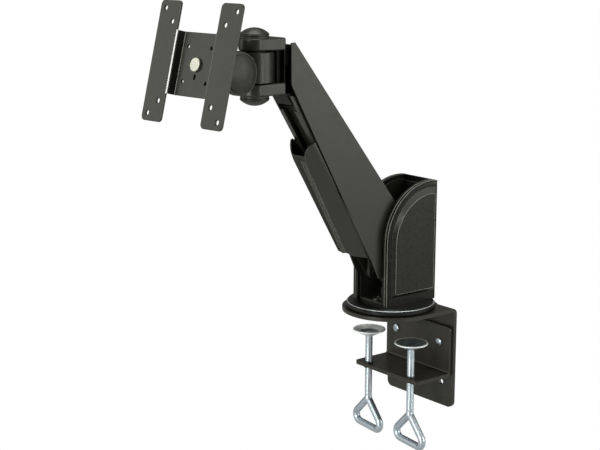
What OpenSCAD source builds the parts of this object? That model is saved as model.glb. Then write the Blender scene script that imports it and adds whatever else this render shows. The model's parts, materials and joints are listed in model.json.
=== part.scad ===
// Desk-clamp monitor arm with a gas-spring parallelogram and a VESA head.
// The origin is on the base swivel axis, at the underside of the bracket's top
// plate, which is the face that rests on the desk. The arm reaches towards -Y.

/* [Desk bracket] */
// Width of the desk bracket
bracket_w = 104; // [100:1:110]
// Thickness of the bracket's steel
bracket_t = 4; // [3:0.5:4]
// Rear face of the back plate, behind the swivel axis
bracket_back = 49; // [49:1:56]
// Height of the back plate below the desk face
bracket_drop = 108; // [104:1:130]
// Rounding at the back plate's lower corners
bracket_corner = 7; // [4:1:12]
// Sideways distance of the wall holes from the middle
wall_hole_x = 34; // [30:1:40]
// Diameter of the wall holes
wall_hole_d = 7; // [5:0.5:8]

/* [Clamp] */
// Width of the clamp jaw
jaw_w = 100; // [90:1:100]
// Depth of the jaw's upper face below the desk face
jaw_depth = 68.4; // [66:0.2:80]
// Reach of the jaw in front of the swivel axis
jaw_front = 6.4; // [6.2:0.2:12]
// Sideways distance of each clamp screw from the middle
screw_x = 33.8; // [31:0.2:38]
// Nominal diameter of the clamp screws
screw_d = 8; // [8:8]
// Depth of the clamp pads' rims below the desk face
pad_depth = 29.4; // [20:0.2:40]
// Diameter of the clamp pads
pad_d = 36; // [30:1:40]
// Depth at which the screw shank ends and the handle begins
shank_end = 109.5; // [105:0.5:115]
// Height of the triangular handle
handle_h = 32; // [30:1:40]
// Width of the triangular handle between rod centres
handle_w = 46; // [40:1:50]
// Turn of both handles about their screws
handle_turn = -7; // [-90:1:90]

/* [Turret] */
// Diameter of the turntable disc
disc_d = 96; // [92:1:98]
// Height of the turret's top above the desk face
turret_top = 141; // [136:1:150]
// Half width of the turret's shell
turret_hw = 26.4; // [26.4:0.1:28]
// Front of the turret, in front of the swivel axis
turret_front = 30; // [28:1:32]
// Rear of the turret, behind the swivel axis
turret_rear = 40; // [40:1:42]
// Height of the raised side panels
panel_rise = 3; // [1:0.5:4]

/* [Arm] */
// Angle of the links above the horizontal
rest_angle = 58; // [56:1:59]
// Length of both links between their pivots
link_len = 230; // [226:1:260]
// Lower pivot of the upper link: distance from the swivel axis, height
base_pivot = [-16, 70];
// Drop from each upper pivot to the lower pivot beneath it
pivot_drop = 28; // [28:1:30]
// Half width of the upper link
link_hw = 18.5; // [18.5:0.1:18.8]
// Wall thickness of the links
link_t = 1.6; // [1.2:0.1:1.6]
// Half width of the lower link
lower_hw = 15.3; // [15.1:0.1:15.4]

/* [Head] */
// Turn of the head about its upright axis
head_yaw = 5.9; // [-50:0.1:50]
// Backward tilt of the screen plate
plate_tilt = 14.4; // [-15:0.1:44]
// Height of the gap between the yoke's ears
ear_gap = 31; // [30:0.5:32]
// Thickness of each yoke ear
ear_t = 12; // [10:1:14]
// Radius of the swivel barrel
barrel_r = 19; // [17:0.5:19]
// Distance from the upright axis to the tilt axis
tilt_reach = 35.7; // [34:0.1:38]
// Distance from the tilt axis to the front of the plate
plate_reach = 45; // [44:0.5:50]
// Radius of the domed tilt caps
tilt_cap_r = 19.5; // [17:0.5:19.5]

/* [Screen plate] */
// Width and height of the screen plate
plate_w = 115; // [112:1:120]
// Thickness of the plate's steel
plate_t = 2.5; // [2:0.5:3]
// Width of each rail
rail_w = 29.2; // [27:0.2:30]
// Height of the web between the rails
web_h = 60; // [50:1:70]
// Depth of the web behind the rails' front face
web_set = 7.2; // [6:0.2:9]

/* [Hidden] */
$fn = 72;
play = 0.05;             // radial running clearance of a pin in its bore
slip = 0.1;              // gap between faces that turn on each other
steel = [0.17, 0.165, 0.16];
plastic = [0.13, 0.13, 0.125];
zinc = [0.78, 0.8, 0.83];
nylon = [0.85, 0.84, 0.8];

bend_r = 6;              // outside radius of the bracket's and the jaw's bends
in_bend_r = bend_r - bracket_t;
wall_hole_z = [-36, -82];
disc_z = bracket_t + 0.6;
disc_h = 6.6;
floor_z = disc_z + disc_h;
frame_t = 3;
frame_hw = 22.6;
frame_in = frame_hw - frame_t;
arch_r = 61.5;
arch_y = arch_r - turret_front;
arch_z = turret_top - arch_r;
pad_h = 6.5;
neck_r = 3;
bush_r = 5.2;
thread_r = screw_d / 2;
stud_r = 6;
stud_head_r = 12;
stud_head_t = 1.8;
frame_gap = 3.8;         // from the shell's edge to the frame's edge
frame_back = turret_rear - 4;

base_p = base_pivot;
lower_p = base_p - [0, pivot_drop];
link_dir = [-cos(rest_angle), sin(rest_angle)];
head_p = base_p + link_len * link_dir;
level_p = head_p - [0, pivot_drop];
anchor_p = base_p + [8, -20];
spring_s = 178;
spring_p = base_p + spring_s * link_dir;
spring_v = anchor_p - spring_p;
spring_len = norm(spring_v);
spring_turn = atan2(-spring_v[0], spring_v[1]);
main_pin_r = 5;
pin_r = 4;
anchor_r = 3.5;
level_r = 3;
tube_r = 8;              // the gas spring's tube, and its ends measured from the upper pin
tube_from = 16;
tube_to = 134;
snap_r = 2.6;
snap_n = -18.6;          // the cover's snap pegs, square to the upper link's pivot line
snap_at = [54, 132];     // and along it
cover_knee = -25.4;      // where the cover's walls lean in
cover_end = 160.7;
cover_corner = 13.2;
cover_corner_n = -23.7;
jaw_screw_r = wall_hole_d / 2 - play;
jaw_screw_head = 4.2;
stub_gap = 7.5;          // half the free width between two stub pins
link_in = link_hw - link_t;
lower_in = lower_hw - link_t;
pin_reach = link_in + 1;

head_y = -181;
ear_low = 255;
ear_high = ear_low + ear_gap;
ear_hw = 15.5;
yoke_back = 27.4;        // rear face of the yoke behind the upright axis
tilt_z = 267.3;
head_bolt_r = 5;
boss_r = 13.5;
boss_hw = 13.4;
lug_hw = 19;
lug_t = 5;
flange_back = 28.6;
flange_t = 6;
web_front = plate_reach - web_set;
rail_in = plate_w / 2 - rail_w;

// ---- placing helpers ----

// Extrudes a (y, z) outline along X, centred on x.
module slab(w, x = 0) {
    translate([x, 0, 0]) rotate([90, 0, 90]) linear_extrude(w, center = true) children();
}

// Places an outline drawn as (along the link, square to the link) at a pivot.
module on_link(p) {
    translate(p) rotate(-rest_angle) mirror([1, 0]) children();
}

// Turns a solid so its Z runs up the link and its Y square to the link.
module along_link(p) {
    translate([0, p[0], p[1]]) rotate([90 - rest_angle, 0, 0]) children();
}

// A pin along X, centred on x, at a (y, z) point.
module cross_pin(p, r, w, x = 0) {
    translate([x, p[0], p[1]]) rotate([0, 90, 0]) cylinder(r = r, h = w, center = true);
}

module both_sides() {
    children();
    mirror([1, 0, 0]) children();
}

module head_turn() {
    translate([0, head_y, 0]) rotate([0, 0, head_yaw]) children();
}

// The frame of the tilting parts: origin on the tilt axis, front towards -Y.
module tilt_turn() {
    head_turn() translate([0, -tilt_reach, tilt_z]) rotate([-plate_tilt, 0, 0]) children();
}

module ring(r_in, r_out, h) {
    difference() {
        cylinder(r = r_out, h = h);
        translate([0, 0, -1]) cylinder(r = r_in, h = h + 2);
    }
}

module hex_nut(flats, bore_r, h) {
    difference() {
        intersection() {
            cylinder(d = flats / cos(30), h = h, $fn = 6);
            cylinder(d = flats * 1.12, h = h);
        }
        translate([0, 0, -1]) cylinder(r = bore_r, h = h + 2);
    }
}

module rounded_rect(w, h, r) {
    square([w - 2 * r, h], center = true);
    square([w, h - 2 * r], center = true);
    for (sx = [-1, 1], sy = [-1, 1])
        translate([sx * (w / 2 - r), sy * (h / 2 - r)]) circle(r);
}

// A spherical dome of the given rim radius and height, standing on z = 0.
module dome(r, h) {
    ball = (r * r + h * h) / (2 * h);
    intersection() {
        translate([0, 0, h - ball]) sphere(ball, $fn = 120);
        cylinder(r = r + 1, h = h + 1);
    }
}

// ---- desk bracket and clamp ----

module plate_corner_rounding(w, z_low, r) {
    for (s = [-1, 1])
        difference() {
            translate([s * (w / 2 - r / 2 + 0.5), 0, z_low + r / 2 - 0.5])
                cube([r + 1, 200, r + 1], center = true);
            translate([s * (w / 2 - r), 0, z_low + r])
                rotate([90, 0, 0]) cylinder(r = r, h = 202, center = true);
        }
}

module desk_bracket() color(steel) {
    inner = bracket_back - bracket_t;
    bend_y = bracket_back - bend_r;
    difference() {
        union() {
            cylinder(r = bracket_w / 2, h = bracket_t, $fn = 160);
            translate([-bracket_w / 2, 0, 0]) cube([bracket_w, bend_y, bracket_t]);
            slab(bracket_w) {
                intersection() {
                    translate([bend_y, bracket_t - bend_r]) difference() {
                        circle(bend_r);
                        circle(in_bend_r);
                    }
                    translate([bend_y, bracket_t - bend_r]) square(bend_r + 1);
                }
                translate([inner, -bracket_drop])
                    square([bracket_t, bracket_drop + bracket_t - bend_r]);
            }
        }
        translate([0, bracket_back, 0]) plate_corner_rounding(bracket_w, -bracket_drop, bracket_corner);
        for (sx = [-1, 1], z = wall_hole_z)
            translate([sx * wall_hole_x, inner - 1, z])
                rotate([-90, 0, 0]) cylinder(d = wall_hole_d, h = bracket_t + 2);
        translate([0, 0, -1]) cylinder(r = stud_r + play, h = bracket_t + 2);
        translate([0, 0, -1]) cylinder(r = stud_head_r + 0.3, h = stud_head_t + 1.5);
    }
}

module clamp_jaw() color(steel) {
    back = bracket_back - bracket_t;
    leg_top = -17.2;
    bend_y = back - bend_r;
    bend_z = -jaw_depth - bracket_t + bend_r;
    difference() {
        union() {
            translate([0, 0, -jaw_depth - bracket_t]) linear_extrude(bracket_t) {
                translate([-jaw_w / 2, -jaw_front + 4]) square([jaw_w, bend_y + jaw_front - 4]);
                translate([-jaw_w / 2 + 4, -jaw_front]) square([jaw_w - 8, 5]);
                for (s = [-1, 1]) translate([s * (jaw_w / 2 - 4), -jaw_front + 4]) circle(4);
            }
            slab(jaw_w) intersection() {
                translate([bend_y, bend_z]) difference() {
                    circle(bend_r);
                    circle(in_bend_r);
                }
                translate([bend_y, bend_z - bend_r - 1]) square(bend_r + 1);
            }
            translate([-jaw_w / 2, back - bracket_t, bend_z]) cube([jaw_w, bracket_t, leg_top - bend_z]);
        }
        translate([0, back, 0]) mirror([0, 0, 1]) plate_corner_rounding(jaw_w, -leg_top, 4);
        for (s = [-1, 1]) {
            translate([s * wall_hole_x, back - bracket_t - 1, wall_hole_z[0]])
                rotate([-90, 0, 0]) cylinder(d = wall_hole_d, h = bracket_t + 2);
            translate([s * screw_x, 0, -jaw_depth - bracket_t - 1])
                cylinder(r = bush_r, h = bracket_t + 2);
        }
    }
}

// Two pan head screws hold the jaw's leg to the bracket through the upper wall holes.
module jaw_screws() color(steel) {
    rim = 1.2;
    crown = 1.3;
    for (s = [-1, 1]) translate([s * wall_hole_x, bracket_back - 2 * bracket_t, wall_hole_z[0]])
        rotate([90, 0, 0]) {
            translate([0, 0, 0.3 - 2 * bracket_t]) cylinder(r = jaw_screw_r, h = 2 * bracket_t);
            difference() {
                union() {
                    cylinder(r = jaw_screw_head, h = rim);
                    translate([0, 0, rim]) dome(jaw_screw_head, crown);
                }
                for (a = [0, 90]) rotate(a) translate([0, 0, rim + crown]) cube([4, 0.9, 1.8], center = true);
            }
        }
}

module screw_bushes() color(steel) {
    for (s = [-1, 1]) translate([s * screw_x, 0, 0]) {
        translate([0, 0, -jaw_depth - bracket_t]) ring(thread_r + play, bush_r, bracket_t + 1.8);
        translate([0, 0, -jaw_depth - bracket_t - 1.2]) ring(thread_r + play, bush_r + 0.4, 1.2);
    }
}

// A closed triangle of round rod that hangs from the shank, apex at the origin.
// The corner arcs are a hair thinner than the straight rods, and end inside them.
module handle_loop() {
    bend = 7;
    lap = 3;
    half = handle_w / 2;
    corner = [half - bend, -handle_h + bend];
    reach = norm(corner);
    lean = atan2(corner[0], -corner[1]) + asin(bend / reach);
    leg = sqrt(reach * reach - bend * bend);
    both_sides() {
        rotate([0, 180 - lean, 0]) cylinder(r = thread_r, h = leg);
        translate([corner[0], 0, corner[1]]) rotate([90, 0, 0]) rotate(-90 - lap)
            rotate_extrude(angle = 90 + lean + 2 * lap) translate([bend, 0]) circle(thread_r - 0.03);
    }
    translate([0, 0, -handle_h]) rotate([0, 90, 0]) cylinder(r = thread_r, h = 2 * corner[0], center = true);
    sphere(thread_r + 0.4);
}

module clamp_screw(side) color(zinc) translate([side * screw_x, 0, 0]) {
    hub_z = -pad_depth - pad_h;
    translate([0, 0, -shank_end]) cylinder(r = thread_r, h = shank_end + hub_z - slip);
    translate([0, 0, hub_z - slip - 1]) cylinder(r = neck_r, h = 3.5);
    translate([0, 0, hub_z + 1.5 + slip]) cylinder(r1 = 4.2, r2 = 3.2, h = 1.2);
    translate([0, 0, -shank_end]) rotate(handle_turn) handle_loop();
}

module left_clamp_screw() clamp_screw(-1);
module right_clamp_screw() clamp_screw(1);

module clamp_pad(side) color(zinc)
    translate([side * screw_x, 0, -pad_depth - pad_h])
        rotate_extrude($fn = 120) polygon([[neck_r + play, 0], [8, 0], [16.2, 4.8], [pad_d / 2, 5.2],
            [pad_d / 2, pad_h], [15.6, pad_h - 0.2], [7.6, 1.5], [neck_r + play, 1.5]]);

module left_clamp_pad() clamp_pad(-1);
module right_clamp_pad() clamp_pad(1);

// ---- base swivel ----

module swivel_stud() color(zinc) {
    stud_h = 26;
    translate([0, 0, 0.5]) cylinder(r = stud_head_r, h = stud_head_t);
    translate([0, 0, 1]) cylinder(r = stud_r, h = stud_h - 1);
    translate([0, 0, stud_h]) cylinder(r1 = stud_r, r2 = stud_r - 1, h = 1);
}

module swivel_washer() color(nylon) translate([0, 0, bracket_t]) ring(12, 44, 0.5);

module spring_washers() color(zinc) {
    translate([0, 0, floor_z + frame_t + slip]) ring(stud_r + play, 12, 1);
    translate([0, 0, floor_z + frame_t + 1.1]) ring(stud_r + play, 11, 0.9);
}

module swivel_nut() color(zinc)
    translate([0, 0, floor_z + frame_t + 2]) hex_nut(19, stud_r + play, 8);

module turntable_disc() color(plastic) {
    r = disc_d / 2;
    step = 2;
    difference() {
        translate([0, 0, disc_z]) rotate_extrude($fn = 180) polygon([[stud_r + play, 0],
            [r - 0.8, 0], [r, 0.8], [r, 3.4], [r - 0.3, 4.1], [r - 0.9, 4.5], [r - step, 4.6],
            [r - step, disc_h - 0.6], [r - step - 0.6, disc_h], [stud_r + play, disc_h]]);
        base_screw_places() translate([0, 0, floor_z - 4.2]) cylinder(r = 2.5, h = 5);
    }
}

module trim_ring() color(zinc) translate([0, 0, disc_z + 4.7]) ring(disc_d / 2 - 1.95, disc_d / 2 - 0.9, 0.6);

module base_screw_places() {
    for (a = [-90, 45, 135]) rotate(a) translate([19.5, 0, 0]) children();
}

module base_screws() color(zinc) base_screw_places() {
    translate([0, 0, floor_z - 4]) cylinder(r = 2.5, h = frame_t + 4.2);
    translate([0, 0, floor_z + frame_t]) difference() {
        dome(4.5, 2.6);
        translate([0, 0, 1.2]) cylinder(r = 1.6, h = 3, $fn = 6);
    }
}

// ---- turret ----

// The turret's side outline: a quarter arch at the front of a tall rectangle.
module arch_outline(inset = 0, foot = 0) {
    z_low = floor_z + foot;
    translate([-turret_front + inset, z_low])
        square([turret_front + turret_rear - 2 * inset, arch_z - z_low]);
    intersection() {
        translate([arch_y, arch_z]) circle(arch_r - inset, $fn = 200);
        translate([-turret_front + inset, arch_z - 1])
            square([turret_front + turret_rear - 2 * inset, arch_r + 2]);
    }
}

module turret_frame() color(steel) {
    front = -turret_front + frame_gap;
    difference() {
        union() {
            translate([-frame_hw, front, floor_z]) cube([2 * frame_hw, frame_back - front, frame_t]);
            both_sides() slab(frame_t, frame_hw - frame_t / 2) intersection() {
                arch_outline(frame_gap);
                translate([front, 0]) square([frame_back - front, turret_top]);
            }
            translate([-frame_hw, frame_back - frame_t, floor_z])
                cube([2 * frame_hw, frame_t, turret_top - 6 - floor_z]);
        }
        cross_pin(base_p, main_pin_r, 2 * frame_hw + 2);
        translate([0, 0, floor_z - 1]) cylinder(r = stud_r + play, h = frame_t + 2);
        base_screw_places() translate([0, 0, floor_z - 1]) cylinder(r = 2.5, h = frame_t + 2);
        shell_screw_places() rotate([90, 0, 0]) cylinder(r = 1.5, h = 8);
    }
}

module shell_screw_places() {
    for (sx = [-1, 1], z = [30, 118]) translate([sx * 14, turret_rear, z]) children();
}

module shell_screws() color(zinc) shell_screw_places() rotate([90, 0, 0]) {
    translate([0, 0, 0.6]) difference() {
        cylinder(r1 = 3.4, r2 = 1.5, h = 1.9);
        translate([0, 0, -1]) cylinder(r = 1.1, h = 2, $fn = 6);
    }
    translate([0, 0, 2]) cylinder(r = 1.5, h = 5.5);
}

module turret_shell() color(plastic) {
    skin = 3.2;
    rib = 0.5;
    difference() {
        union() {
            both_sides() {
                slab(skin, turret_hw - skin / 2) arch_outline();
                slab(turret_hw - frame_in - 0.2, (turret_hw + frame_in - 0.2) / 2 + 0.1) difference() {
                    arch_outline();
                    arch_outline(3, -1);
                }
                for (k = [0.7, 2.2, 3.7]) slab(rib + 0.2, turret_hw + rib / 2 - 0.1) intersection() {
                    difference() {
                        arch_outline(k, 0.6);
                        arch_outline(k + 0.7, -1);
                    }
                    translate([-60, 0]) square([60 + turret_rear - 5, 300]);
                }
            }
            slab(2 * turret_hw) intersection() {
                arch_outline();
                translate([turret_rear - 3.4, 0]) square([10, 300]);
            }
        }
        shell_screw_places() rotate([90, 0, 0]) {
            cylinder(r = 1.6, h = 8);
            translate([0, 0, -1]) cylinder(r = 3.5, h = 1.6);
            translate([0, 0, 0.6]) cylinder(r1 = 3.5, r2 = 1.6, h = 1.9);
        }
    }
}

// Outline of a side panel; the inset shrinks it towards its plateau.
module panel_outline(front, top, foot, rear) {
    r = arch_y - 0.8 + front;
    intersection() {
        translate([-front, foot]) square([front + rear, top - foot]);
        union() {
            translate([-front, foot]) square([front + rear, top - r - foot]);
            translate([arch_y - 0.8, top - r]) circle(r, $fn = 90);
        }
    }
}

module side_panel(side) color(plastic) hull() {
    slab(0.1, side * (turret_hw + 0.05)) panel_outline(24.2, 134.6, 21, 38);
    slab(0.1, side * (turret_hw + 0.65)) panel_outline(24.2, 134.6, 21, 38);
    slab(0.1, side * (turret_hw + panel_rise - 0.05)) panel_outline(19.6, 127.6, 24.6, 34.6);
}

module side_panel_left() side_panel(-1);
module side_panel_right() side_panel(1);

module spring_bracket() color(steel) {
    plate_x = 9.5;
    plate_t = frame_t;
    back = frame_back - frame_t;
    foot = 34;
    head = 60;
    difference() {
        union() {
            both_sides() slab(plate_t, plate_x) {
                translate(anchor_p) circle(8);
                translate(lower_p) circle(8);
                translate(base_p) circle(9);
                polygon([lower_p + [0, -8], [back, foot], [back, head], base_p + [2, 8.7], base_p + [-9, 0],
                    lower_p + [-8, 0]]);
            }
            translate([-plate_x - plate_t / 2, back - plate_t, foot])
                cube([2 * plate_x + plate_t, plate_t, head - foot]);
        }
        cross_pin(base_p, main_pin_r, 60);
        cross_pin(lower_p, pin_r, 60);
        cross_pin(anchor_p, anchor_r, 60);
    }
}

// Two short pins with a gap between them, through which the gas spring passes.
module stub_pins(p, r, reach) {
    difference() {
        cross_pin(p, r, 2 * reach);
        cross_pin(p, r + 1, 2 * stub_gap);
    }
}

module base_pivot_pins() color(zinc) stub_pins(base_p, main_pin_r, frame_hw);
module lower_pivot_pins() color(zinc) stub_pins(lower_p, pin_r, link_in - 0.5);
module anchor_pin() color(zinc) cross_pin(anchor_p, anchor_r, 22);

// ---- links ----

// Height of the upper link's top edge above its pivot line.
function link_top(s) = 34.8 - 0.1033 * s;

module upper_link() color(steel) {
    far = link_len + 28;
    web_end = link_len + 7;
    difference() {
        slab(2 * link_hw) on_link(base_p) polygon([[-9, link_top(-9)], [far, link_top(far)],
            [far + 2.2, link_top(far) - 4.1], [link_len - 3, -16.6], [link_len - 7.5, -17.3],
            [163, -20.4], [90, -24.2], [12, -26.6], [-14, -29.6], [-20, -22], [-23, 0], [-20, 26]]);
        slab(2 * link_in) on_link(base_p) {
            polygon([[-40, link_top(-40) - link_t], [far + 9, link_top(far + 9) - link_t],
                [far + 9, -60], [-40, -60]]);
            translate([web_end, -60]) square([60, 120]);
        }
        cross_pin(base_p, 6.5, 60);
        cross_pin(head_p, pin_r, 2 * pin_reach);
        cross_pin(spring_p, pin_r, 2 * pin_reach);
    }
}

module upper_link_bushes() color(nylon) both_sides() translate([link_in, base_p[0], base_p[1]])
    rotate([0, 90, 0]) {
        ring(main_pin_r + play, 6.5, link_t + 0.9);
        translate([0, 0, link_t]) ring(main_pin_r + play, 9, 0.9);
    }

module spring_pin() color(zinc) cross_pin(spring_p, pin_r, 2 * pin_reach);
module head_pivot_pin() color(zinc) cross_pin(head_p, pin_r, 2 * pin_reach);

module lower_link() color(steel) {
    edge = -7.7;
    web_top = 0.4;
    lip_in = 9;
    web_from = 28;
    web_to = link_len - 9;
    difference() {
        slab(2 * lower_hw) on_link(lower_p) {
            circle(8);
            translate([link_len, 0]) circle(6.5);
            polygon([[0, edge], [link_len + 10, edge], [link_len + 4.6, web_top], [0, web_top]]);
        }
        slab(2 * lower_in) on_link(lower_p) {
            translate([-20, -20]) square([web_from + 20, 40]);
            translate([-20, edge + link_t]) square([link_len + 60, web_top - edge - 2 * link_t]);
            translate([web_to, -20]) square([60, 40]);
            for (s = snap_at) translate([s + pivot_drop * sin(rest_angle) - 6, edge - 1]) square([12, 4]);
        }
        slab(2 * lip_in) on_link(lower_p) translate([-20, edge - 1]) square([link_len + 60, 4]);
        cross_pin(lower_p, 5.2, 60);
        cross_pin(level_p, level_r + 0.3, 60);
        for (s = snap_at) along_link(base_p) translate([0, snap_n, s]) rotate([0, 90, 0])
            cylinder(r = snap_r, h = 60, center = true);
    }
}

module lower_link_bushes() color(nylon) both_sides() translate([lower_in, lower_p[0], lower_p[1]])
    rotate([0, 90, 0]) {
        ring(pin_r + play, 5.2, link_t);
        translate([0, 0, -0.7]) ring(pin_r + play, 7, 0.7);
    }

// The cover's section across the link, narrowing away from the arm.
module cover_section(grow, reach) {
    top = -20;
    slope = tan(33);
    wide = link_hw - 0.1 - grow;
    polygon([[-wide, top], [wide, top], [wide, cover_knee], [wide - slope * reach, cover_knee - reach],
        [slope * reach - wide, cover_knee - reach], [-wide, cover_knee]]);
}

module cover_body(skin) {
    intersection() {
        slab(60) on_link(base_p) polygon([[168 + skin * 3, -22.85 + skin * 9],
            [168 + skin * 6, -37.2 + skin], [31 - skin * 6, -43.4 + skin], [22 - skin * 6, -38],
            [13 - skin * 3, -28.2 + skin * 9]]);
        along_link(base_p) linear_extrude(200) cover_section(skin, 22);
    }
}

// What is kept of the cover below its rounded upper end.
module cover_end_outline() {
    flat = cover_end - cover_corner;
    translate([flat, cover_corner_n]) circle(cover_corner);
    translate([-10, -60]) square([flat + 10, 80]);
    translate([-10, cover_corner_n]) square([cover_end + 10, 30]);
}

module cable_cover() color(plastic) {
    leg_hw = lower_in - 0.05;
    leg_t = 1.8;
    flange_out = link_in - 0.3;
    difference() {
        intersection() {
            cover_body(0);
            slab(60) on_link(base_p) cover_end_outline();
        }
        cover_body(1.7);
    }
    both_sides() {
        slab(flange_out - lower_hw - play, (flange_out + lower_hw + play) / 2) on_link(base_p)
            polygon([[cover_end - 1, -18.5], [cover_end - 1, -24.4], [30, -28.5], [30, -20]]);
        slab(0.6, flange_out + 0.2) on_link(base_p)
            polygon([[cover_end - 2, -23.9], [cover_end - 2, -24.5], [30, -28.5], [30, -28.1]]);
    }
    for (s = snap_at) {
        intersection() {
            both_sides() along_link(base_p) translate([leg_hw - leg_t / 2, -27, s])
                cube([leg_t, 22, 8], center = true);
            union() {
                cover_body(1.5);
                along_link(base_p) translate([0, snap_n + 0.1, s]) cube([40, 10, 9], center = true);
            }
        }
        both_sides() along_link(base_p) translate([leg_hw, snap_n, s]) rotate([0, 90, 0])
            cylinder(r = snap_r - 0.1, h = 1.2);
    }
}

// ---- gas spring ----

// Turns a solid so its Z runs down the gas spring, starting d from the upper pin.
module along_spring(d) {
    translate([0, spring_p[0], spring_p[1]]) rotate([spring_turn, 0, 0])
        translate([0, 0, d]) children();
}

module gas_cylinder() color(plastic) {
    difference() {
        union() {
            cross_pin(spring_p, tube_r, 12);
            along_spring(6) cylinder(r = 5, h = 12);
            along_spring(tube_from) cylinder(r = tube_r, h = tube_to - tube_from);
        }
        cross_pin(spring_p, pin_r + play, 20);
        along_spring(tube_from + 4) cylinder(r = tube_r - 1.4, h = tube_to - tube_from - 10);
        along_spring(tube_to - 14) cylinder(r = pin_r + play, h = 20);
    }
}

module gas_rod() color(zinc) {
    eye_r = anchor_r + 3;
    piston_from = 66;
    along_spring(piston_from) cylinder(r = tube_r - 1.5, h = 6);
    difference() {
        union() {
            along_spring(piston_from + 4) cylinder(r = pin_r, h = spring_len - piston_from - 4 - eye_r);
            cross_pin(anchor_p, eye_r + 3, 11);
        }
        cross_pin(anchor_p, eye_r, 20);
    }
}

// ---- yoke ----

module ear_outline() {
    circle(ear_hw);
    translate([-ear_hw, 0]) square([2 * ear_hw, yoke_back - 3]);
    translate([-ear_hw + 3, 0]) square([2 * ear_hw - 6, yoke_back]);
    for (s = [-1, 1]) translate([s * (ear_hw - 3), yoke_back - 3]) circle(3);
}

module yoke() color(steel) {
    back = head_y + yoke_back;
    low = ear_low - ear_t;
    tang_hw = 12.6;
    web_hw = 8;
    difference() {
        union() {
            for (z = [low, ear_high])
                translate([0, head_y, z]) linear_extrude(ear_t) ear_outline();
            translate([-web_hw, back - 6.8, low + 2]) cube([2 * web_hw, 6.8, ear_gap + 2 * ear_t - 4]);
            translate([-tang_hw, back - 1, low]) cube([2 * tang_hw, 8.9, ear_gap + 2 * ear_t - 7]);
            slab(2 * tang_hw) {
                translate(head_p) circle(7);
                translate(level_p) circle(6.5);
                polygon([[back - 1, head_p[1] + 7], head_p + [0, 7], head_p + [7, 0], level_p + [6.5, 0],
                    level_p + [0, -6.5], level_p + [-7, -5], [back - 1, low + 2]]);
            }
        }
        translate([0, head_y, low - 1]) cylinder(r = head_bolt_r, h = ear_gap + 2 * ear_t + 2);
        cross_pin(head_p, pin_r + play, 60);
        cross_pin(level_p, level_r, 60);
        translate([5, back - 7.8, 275]) rotate([-90, 0, 0]) cylinder(r = 1.6, h = 5);
    }
}

module level_pin() color(zinc) cross_pin(level_p, level_r, 2 * link_in - 1.4);

module head_bolt() color(zinc) translate([0, head_y, 0]) {
    translate([0, 0, ear_low - ear_t - 7]) cylinder(r = head_bolt_r, h = ear_gap + 2 * ear_t + 8);
    translate([0, 0, ear_high + ear_t]) cylinder(d = 16 / cos(30), h = 4.6, $fn = 6);
}

module head_nut() color(zinc)
    translate([0, head_y, ear_low - ear_t - 5]) hex_nut(16, head_bolt_r, 5);

// A domed plastic cap that hides a bolt head.
module bolt_cap() {
    cap_r = 14.4;
    skirt = 4;
    difference() {
        union() {
            cylinder(r = cap_r, h = skirt);
            translate([0, 0, skirt]) dome(cap_r, 6);
        }
        translate([0, 0, -1]) cylinder(r = 10, h = 6.6);
        translate([0, 0, -1]) cylinder(r = 5.6, h = 8.4);
    }
}

module top_cap() color(plastic) translate([0, head_y, ear_high + ear_t]) bolt_cap();

module bottom_cap() color(plastic)
    translate([0, head_y, ear_low - ear_t]) mirror([0, 0, 1]) bolt_cap();

// ---- swivel and tilt head ----

module swivel_knuckle() color(steel) head_turn() {
    low = ear_low + 1.2;
    high = ear_high - 1.2;
    difference() {
        union() {
            translate([0, 0, low]) cylinder(r = barrel_r, h = high - low, $fn = 120);
            translate([-boss_hw, -tilt_reach, tilt_z - 11]) cube([2 * boss_hw, tilt_reach, 24]);
            translate([0, -tilt_reach, tilt_z]) rotate([0, 90, 0])
                cylinder(r = boss_r, h = 2 * boss_hw, center = true);
        }
        translate([0, 0, low - 1]) cylinder(r = 6.6, h = high - low + 2);
        translate([0, -tilt_reach, tilt_z]) rotate([0, 90, 0])
            cylinder(r = pin_r + play, h = 60, center = true);
    }
}

module knuckle_bushes() color(nylon) head_turn()
    for (flip = [0, 1]) translate([0, 0, (ear_low + ear_high) / 2]) mirror([0, 0, flip])
        translate([0, 0, ear_gap / 2 - 11.2]) {
            ring(head_bolt_r + play, 6.6, 11);
            translate([0, 0, 10]) ring(head_bolt_r + play, 12, 1);
        }

module tilt_bracket() color(steel) tilt_turn() {
    difference() {
        union() {
            both_sides() translate([lug_hw - lug_t, 0, 0]) rotate([0, 90, 0])
                cylinder(r = 20.5, h = lug_t, $fn = 120);
            both_sides() translate([lug_hw - lug_t, -flange_back - 3, -18])
                cube([lug_t, flange_back + 3, 36]);
            translate([0, -flange_back - flange_t, 0]) rotate([-90, 0, 0]) cylinder(r = 24, h = flange_t);
        }
        rotate([0, 90, 0]) cylinder(r = pin_r, h = 60, center = true);
        translate([0, -flange_back - flange_t - 1, 0]) rotate([-90, 0, 0])
            cylinder(r = 5, h = flange_t + 2);
    }
}

module tilt_bolt() color(zinc) tilt_turn() rotate([0, 90, 0]) {
    translate([0, 0, -lug_hw - 6]) cylinder(r = pin_r, h = 2 * lug_hw + 8);
    translate([0, 0, lug_hw]) cylinder(d = 13 / cos(30), h = 4, $fn = 6);
}

module tilt_nut() color(zinc) tilt_turn() rotate([0, -90, 0])
    translate([0, 0, lug_hw]) hex_nut(13, pin_r, 5);

module tilt_washers() color(nylon) tilt_turn() both_sides() rotate([0, 90, 0])
    translate([0, 0, lug_hw - lug_t - 0.5]) ring(pin_r, 12, 0.5);

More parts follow.
